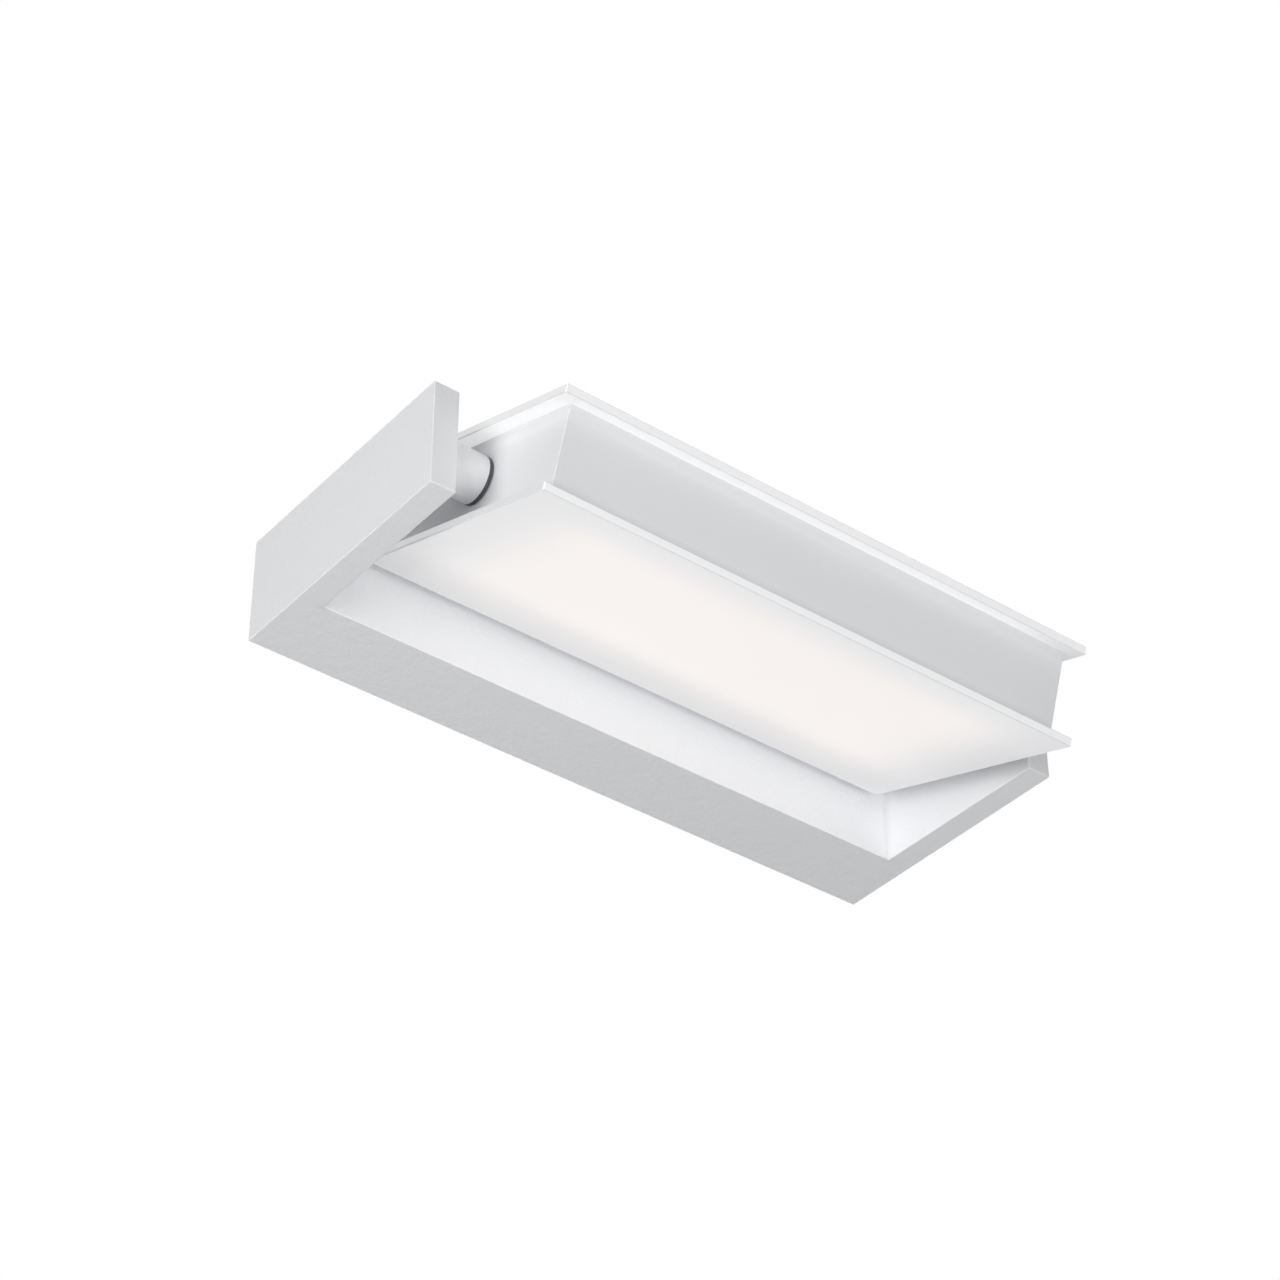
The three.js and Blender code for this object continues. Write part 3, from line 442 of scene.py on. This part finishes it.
def opal(name, colour, end_colour, half, inner, glow):
    """Opal acrylic lit through: warm and brightest in the middle, cooler toward its sides and
    ends, and dimmer in its rim. Painted shade joins the glow: it dims toward the wall and at the
    right end, and the thin chamfer of its sawn edge is a painted line of shade. Its ends' rims glow
    over a dark base, partly their own edge glow and partly painted light that evens out the arm's
    shadow. The face toward the frame, whose side inner gives as 1 or -1 along Z, has its own glow,
    on the upper plate partly painted light from lamps shining through its overhang."""
    # The glow rises over a length from each end, and from a little beyond the room side and the
    # wall side to a place within each
    end_reach = 36 * MM
    front_start, front_reach = 1 * MM, 21 * MM
    back_start, back_reach = 3 * MM, 31 * MM
    material, tree, shader, place = shaded(name)
    fine = noise(tree, place, 0.8 * MM, detail=3, roughness=0.6)
    haze = noise(tree, place, 35 * MM)
    acrylic = mottle(tree, haze, scaled(colour, 0.985), scaled(colour))
    roughen(tree, shader, fine, 0.4, 0.5)
    relief(tree, shader, fine, 0.004 * MM)

    # Which of its faces a point is on, by the cosines of its normal: along Z they are 0 on a rim,
    # 0.71 on a chamfer and 1 on a face
    parts = separated(tree, place)
    normal = separated(tree, add_node(tree, "TexCoord").outputs["Normal"])
    flat = maths(tree, "ABSOLUTE", normal["Z"])
    endwise = maths(tree, "ABSOLUTE", normal["X"])
    end_share = spread(tree, endwise, 0, 1, start=0.8, end=0.95)
    inner_share = ramp(tree, normal["Z"], -0.5 * inner, 0.5 * inner)
    chamfer_share = spread(tree, flat, 0, 1, start=0.1, end=0.5)
    face_share = spread(tree, flat, 0, 1, start=0.8, end=0.95)
    # The ends' rims take a dark base, so that their glow, partly painted light, shows evenly in the arm's shadow
    # and out of it
    colour_with(tree, shader, blend(tree, end_share, acrylic, scaled(end_colour)))

    # How near the middle it lies
    inward = ramp(tree, maths(tree, "ABSOLUTE", parts["X"]), half.x, half.x - end_reach)
    front = ramp(tree, parts["Y"], -half.y - front_start, -half.y + front_reach)
    back = ramp(tree, parts["Y"], half.y + back_start, half.y - back_reach)
    middle = maths(tree, "MULTIPLY", maths(tree, "MULTIPLY", inward, front),
                   spread(tree, haze, 0.93, 1))

    left, right, side = (
        blend(tree, inner_share, scaled(glow[region]), scaled(glow[f"inner_{region}"]))
        for region in ("left", "right", "side"))
    # The right end glowing less than the left is painted shade, on the side away from the lamps
    ends = blend(tree, spread(tree, parts["X"], 0, 1, start=-half.x, end=half.x), left, right)
    edges = blend(tree, inward, ends, side)
    # Painted shade: the glow dims toward the wall, where the housing shades the plate
    face = blend(tree, back, scaled(glow["back"]),
                 blend(tree, middle, edges, scaled(glow["middle"])))
    # The rims' glow; at the ends it is partly painted light over the arm's shadow
    rim = blend(tree, end_share, scaled(glow["rim"]), scaled(glow["end_rim"]))
    # Painted line of shade: the chamfer glows less than both the rim and the face
    edged = blend(tree, chamfer_share, rim, scaled(glow["chamfer"]))
    tree.links.new(blend(tree, face_share, edged, face), shader.inputs["Emission Color"])
    shader.inputs["Emission Strength"].default_value = 1
    return material


housing_low, housing_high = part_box("back_housing")
_, rail_high = head_box("frame_rail_back")
# The bracket's paint carries painted shade in the inner corners of the housing
bracket_paint = powder_coat("bracket_paint", (0.888, 0.896, 0.912), 0.55 * MM, 0.08 * MM, 0.55,
                            shadowed_corner=(housing_high.x, housing_low.y))
# A darker copy of the bracket's paint on the collars: painted shade
shaded_collar_paint = powder_coat("shaded_collar_paint", (0.815, 0.826, 0.841), 0.55 * MM, 0.04 * MM, 0.55)
# The frame's paint carries a painted shadow toward its seams with the plates
frame_paint = powder_coat("frame_paint", (0.852, 0.862, 0.875), 0.25 * MM, 0.005 * MM, 0.6,
                          seam=rail_high.z)
zinc_steel = plated_steel("zinc_steel", (0.52, 0.53, 0.545), 0.34)
dark_nylon = moulded("dark_nylon", (0.075, 0.08, 0.085), 0.3 * MM, 0.01 * MM, 0.55)
black_rubber = moulded("black_rubber", (0.018, 0.018, 0.019), 0.5 * MM, 0.015 * MM, 0.7,
                       specular=0.3)

# The finish of each slot but the opal plates'
finishes = {
    "bracket_paint": bracket_paint,
    "frame_paint": frame_paint,
    "zinc_steel": zinc_steel,
    "dark_nylon": dark_nylon,
    "black_rubber": black_rubber,
    "bare_aluminium": plated_steel("bare_aluminium", (0.62, 0.64, 0.66), 0.38),
    "white_plastic": moulded("white_plastic", (0.83, 0.83, 0.80), 0.35 * MM, 0.01 * MM, 0.42),
    "board_mask": solder_mask("board_mask", (0.87, 0.88, 0.86)),
}
for name, colour in (("brown_sleeve", (0.15, 0.058, 0.022)), ("blue_sleeve", (0.03, 0.115, 0.39)),
                     ("clear_sleeve", (0.69, 0.69, 0.65))):
    finishes[name] = moulded(name, colour, 0.5 * MM, 0.01 * MM, 0.42)
for part in frame["record"]["subparts"]:
    if part["material_slot"] in finishes:
        coat(nodes[part["node"]].data, finishes[part["material_slot"]])


# Bracket: one softened U, parted where the housing meets the arms, so that the paint runs on

arm_low, arm_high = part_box("arm_right")
tube_low, tube_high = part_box("pivot_tube_left")


def bracket_body():
    """The U, seen from above as an outline, with softened edges."""
    outer_x, inner_x = arm_high.x, arm_low.x
    front_y, housing_y = arm_low.y, housing_low.y
    outline = [
        (-outer_x, 0), (-outer_x, front_y), (-inner_x, front_y), (-inner_x, housing_y),
        (inner_x, housing_y), (inner_x, front_y), (outer_x, front_y), (outer_x, 0),
    ]
    return soften(prism(outline, arm_low.z, arm_high.z), BRACKET_EDGE)


for name, node in (("housing_shell", "back_housing"), ("arm_left_bar", "arm_left"),
                   ("arm_right_bar", "arm_right")):
    piece = combine(name, cad_shape(node), [bracket_body()], "INTERSECT")
    fit(piece, "bracket", bracket_paint, node)


def rounded_ring(outer, bore, start, end, edge):
    """Radii and places of a ring's section, its outer rims rounded."""
    steps = 4
    points = [(bore, start), (bore, end)]
    for place, sign in ((end - edge, 1), (start + edge, -1)):
        arc = [
            (outer - edge + edge * math.sin(math.pi / 2 * i / steps),
             place + sign * edge * math.cos(math.pi / 2 * i / steps))
            for i in range(steps + 1)
        ]
        points += arc if sign > 0 else arc[::-1]
    return points


def ring_piece(name, node, material, edge):
    """A turned ring in the place of a node that lies round the tilt axis."""
    low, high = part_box(node)
    outer = (high.z - low.z) / 2
    bore = (tube_high.z - pivot.z) + RING_ROOM
    profile = rounded_ring(outer, bore, low.x, high.x, edge)
    piece = mesh_object(name, turned(profile, "x", (0, pivot.y, pivot.z)))
    fit(piece, "bracket", material, node)


def screw_piece(name, node, thread, head_height, socket):
    """A countersunk screw with its head up, its rim eased and a hexagon socket."""
    ease, tip, socket_depth = 0.12 * MM, 0.3 * MM, 0.6 * head_height
    low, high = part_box(node)
    centre = ((low.x + high.x) / 2, (low.y + high.y) / 2, 0)
    head, shank = (high.x - low.x) / 2, thread / 2
    body = turned([(0, low.z), (shank - tip, low.z), (shank, low.z + tip),
                   (shank, high.z - head_height), (head, high.z - 1.5 * ease),
                   (head, high.z - ease), (head - ease, high.z), (0, high.z)], "z", centre, 64)
    above = high.z + head_height
    corners = [math.radians(60 * i) for i in range(6)]
    hexagon = prism([(centre[0] + socket / 2 * math.cos(a), centre[1] + socket / 2 * math.sin(a))
                     for a in corners], high.z - socket_depth, above)
    mouth = socket / 2 + ease
    lead_in = turned([(0, high.z - 2 * ease), (mouth - 2 * ease, high.z - 2 * ease),
                      (mouth, high.z), (mouth, above), (0, above)], "z", centre, 48)
    piece = combine(name, body, [hexagon, lead_in])
    fit(piece, "bracket", zinc_steel, node)


def grommet_piece(name, node, wall, flange):
    """A turned rubber bush with rounded lips, its flange on the room side."""
    ease, flange_reach = 0.35 * MM, 2 * MM
    low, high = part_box(node)
    centre = ((low.x + high.x) / 2, 0, (low.z + high.z) / 2)
    outer = (high.x - low.x) / 2
    neck = outer - flange_reach
    bore, step = neck - wall, low.y + flange
    lip = [(math.cos(math.radians(a)), math.sin(math.radians(a))) for a in (0, 22.5, 45, 67.5, 90)]
    corners = (
        (bore + ease, low.y + ease, -1, -1), (outer - ease, low.y + ease, 1, -1),
        (outer - ease, step - ease, 1, 1), (neck - ease, high.y - ease, 1, 1),
        (bore + ease, high.y - ease, -1, 1),
    )
    profile = []
    for radius, place, out, up in corners:
        arc = [(radius + out * ease * x, place + up * ease * y) for x, y in lip]
        profile += arc if out * up > 0 else arc[::-1]
        if (radius, place) == (outer - ease, step - ease):
            profile.append((neck, step))
    piece = mesh_object(name, turned(profile, "y", centre))
    fit(piece, "bracket", black_rubber, node)


for side in ("left", "right"):
    ring_piece(f"collar_{side}", f"pivot_collar_{side}", shaded_collar_paint,
               COLLAR_EDGE)
    ring_piece(f"washer_{side}", f"friction_washer_{side}", dark_nylon, WASHER_EDGE)
for side in ("left", "right"):
    screw_piece(f"cover_screw_{side}", f"housing_screw_{side}", thread=3 * MM,
                head_height=1.6 * MM, socket=2 * MM)
grommet_piece("cable_bush", "cable_grommet", wall=2.3 * MM, flange=1.6 * MM)


# Head: a mitred frame whose corners close, and two opal plates

end_low, end_high = head_box("frame_end_right")
wall = end_high.x - end_low.x
plate_low, _ = head_box("diffuser_upper")
bond = plate_low.z - rail_high.z
body_half = Vector((end_high.x, rail_high.y, rail_high.z + BOND_FILL * bond))


def frame_body():
    """The head's box with softened edges, and the hollow that goes through it."""
    outer = soften(block(-body_half, body_half), FRAME_EDGE)
    hollow = Vector((body_half.x - wall, body_half.y - wall, 2 * body_half.z))
    return outer, block(-hollow, hollow)


def mitred(side_x, side_y):
    """The wedge of the head that belongs to one wall, out to beyond its face."""
    reach = body_half.x + body_half.y
    inset = body_half.x - body_half.y
    tall = 2 * body_half.z
    if side_y:
        outline = [(-reach, side_y * (reach - inset)), (-inset, 0), (inset, 0),
                   (reach, side_y * (reach - inset))]
    else:
        outline = [(side_x * reach, reach - inset), (side_x * inset, 0),
                   (side_x * reach, inset - reach)]
    return prism(outline, -tall, tall)


for name, node, side_x, side_y in (
        ("rail_front", "frame_rail_front", 0, -1), ("rail_back", "frame_rail_back", 0, 1),
        ("end_left", "frame_end_left", -1, 0), ("end_right", "frame_end_right", 1, 0)):
    outer, hollow = frame_body()
    piece = combine(name, outer, [mitred(side_x, side_y)], "INTERSECT", head_matrix)
    shape = bmesh.new()
    shape.from_mesh(piece.data)
    bpy.data.objects.remove(piece)
    tools = [hollow]
    if side_x:
        bore = tube_high.z - tube_low.z + 2 * END_PLATE_ROOM
        start, end = sorted((side_x * (body_half.x - 2 * wall), side_x * (body_half.x + wall)))
        tools.append(rod(bore, start, end))
    piece = combine(name, shape, tools, "DIFFERENCE", head_matrix)
    fit(piece, "head", frame_paint, node)

# The glow of each region of a plate, as light leaves it. Its back, its right end, its chamfer and its ends' rims
# carry painted shade and light. Left and right are its two ends.
plate_glow = {
    "middle": (0.555, 0.512, 0.485), "back": (0.24, 0.24, 0.245),
    "side": (0.43, 0.433, 0.438), "left": (0.41, 0.412, 0.417), "right": (0.34, 0.34, 0.352),
    "inner_right": (0.26, 0.26, 0.262),
    "rim": (0.36, 0.36, 0.365), "chamfer": (0.19, 0.19, 0.195),
}
# Each plate's glow on its face toward the frame and in its ends' rims. The upper plate's, seen on the strip under
# its overhang, is partly painted light: lamplight shining through the overhang.
level_glow = {
    "lower": {"inner_side": (0.42, 0.42, 0.422), "inner_left": (0.15, 0.15, 0.152),
              "end_rim": (0.51, 0.515, 0.525)},
    "upper": {"inner_side": (0.4, 0.4, 0.402), "inner_left": (0.43, 0.43, 0.432),
              "end_rim": (0.57, 0.57, 0.575)},
}
# The ends' dark base under their glow lets the rims look the same in the arm's shadow as out of it: painted light
acrylic_colour, end_base_under_painted_glow = (0.6, 0.603, 0.61), (0.2, 0.2, 0.2)
for level, inner in (("lower", 1), ("upper", -1)):
    node = f"diffuser_{level}"
    low, high = head_box(node)
    lit_opal = opal(f"opal_{level}", acrylic_colour, end_base_under_painted_glow, high, inner,
                    {**plate_glow, **level_glow[level]})
    shape = soften(block(low, high), PLATE_CHAMFER, segments=1)
    fit(mesh_object(f"plate_{level}", shape, head_matrix), "head", lit_opal, node)
    coat(nodes[node].data, lit_opal)


# Studio

LAMP_TARGET = Vector((0, arm_low.y / 2, 0))
LAMP_DISTANCE = 1.5
WORLD_LIGHT = 0.1


def lamp(name, azimuth, elevation, size, power):
    """A soft square lamp that faces the wall light, its size in metres and its power in watts.
    An azimuth of 0 is the room side, and 90 the right."""
    data = bpy.data.lights.new(name, "AREA")
    data.shape, data.size, data.energy = "SQUARE", size, power
    made = bpy.data.objects.new(name, data)
    bpy.context.scene.collection.objects.link(made)
    turn, rise = math.radians(azimuth), math.radians(elevation)
    toward = Vector((math.sin(turn) * math.cos(rise), -math.cos(turn) * math.cos(rise),
                     math.sin(rise)))
    made.location = LAMP_TARGET + toward * LAMP_DISTANCE
    made.rotation_mode = "QUATERNION"
    made.rotation_quaternion = toward.to_track_quat("Z", "Y")
    made.visible_camera = False


lamp("left", azimuth=-76, elevation=-18, size=1.1, power=16.4)
lamp("front", azimuth=-8, elevation=-35.5, size=0.55, power=9.1)
lamp("back", azimuth=130, elevation=25, size=1.0, power=12.3)
lamp("top", azimuth=0, elevation=85, size=0.9, power=6.8)


def background_rays(tree, others, seen):
    """One value for rays that show the background, straight or in metal and glass, and another
    for the rest, which light the object."""
    rays = add_node(tree, "LightPath").outputs
    share = rays["Is Camera Ray"]
    for kind in ("Is Glossy Ray", "Is Transmission Ray"):
        share = maths(tree, "MAXIMUM", share, rays[kind])
    return spread(tree, share, others, seen, start=0, end=1)


world = bpy.data.worlds.new("studio")
bpy.context.scene.world = world
world.use_nodes = True
tree = world.node_tree
tree.nodes.clear()
sky = add_node(tree, "Background", {
    "Color": (1, 1, 1, 1), "Strength": background_rays(tree, WORLD_LIGHT, 1)})
add_node(tree, "OutputWorld", {"Surface": sky.outputs["Background"]})

# The floor is a wide disc well below, which fades to white with its distance
floor_radius, floor_drop = 12, 1.5
fade_start, fade_end, near_brightness = 1, 8, 0.66
floor_shape = bmesh.new()
bmesh.ops.create_circle(floor_shape, cap_ends=True, segments=64, radius=floor_radius)
floor = mesh_object("floor", floor_shape, Matrix.Translation((0, 0, -floor_drop)))
floor_material, tree, shader, place = shaded("pale_floor")
colour_with(tree, shader, blend(tree, noise(tree, place, 0.4), (0.69, 0.69, 0.69, 1),
                                (0.71, 0.71, 0.71, 1)))
shader.inputs["Roughness"].default_value = 0.9
shader.inputs["Emission Color"].default_value = (1, 1, 1, 1)
away = add_node(tree, "VectorMath", {0: place}, operation="LENGTH").outputs["Value"]
seen = spread(tree, ramp(tree, away, fade_start, fade_end), near_brightness, 1, start=0, end=1)
tree.links.new(background_rays(tree, 0, seen), shader.inputs["Emission Strength"])
floor.data.materials.append(floor_material)
floor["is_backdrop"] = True

# The camera was solved on the photograph's corners
CAMERA_PLACE = (-0.5476, -0.73794, -0.65491)
CAMERA_TURN = (127.041, 0.143, -37.977)
camera_data = bpy.data.cameras.new("camera")
camera_data.sensor_width = 36
camera_data.lens = 94.86
camera_data.clip_start, camera_data.clip_end = 0.01, 100
camera = bpy.data.objects.new("camera", camera_data)
bpy.context.scene.collection.objects.link(camera)
camera.location = CAMERA_PLACE
camera.rotation_mode = "XYZ"
camera.rotation_euler = [math.radians(angle) for angle in CAMERA_TURN]
bpy.context.scene.camera = camera
bpy.context.scene.view_settings.view_transform = "Standard"

low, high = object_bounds()
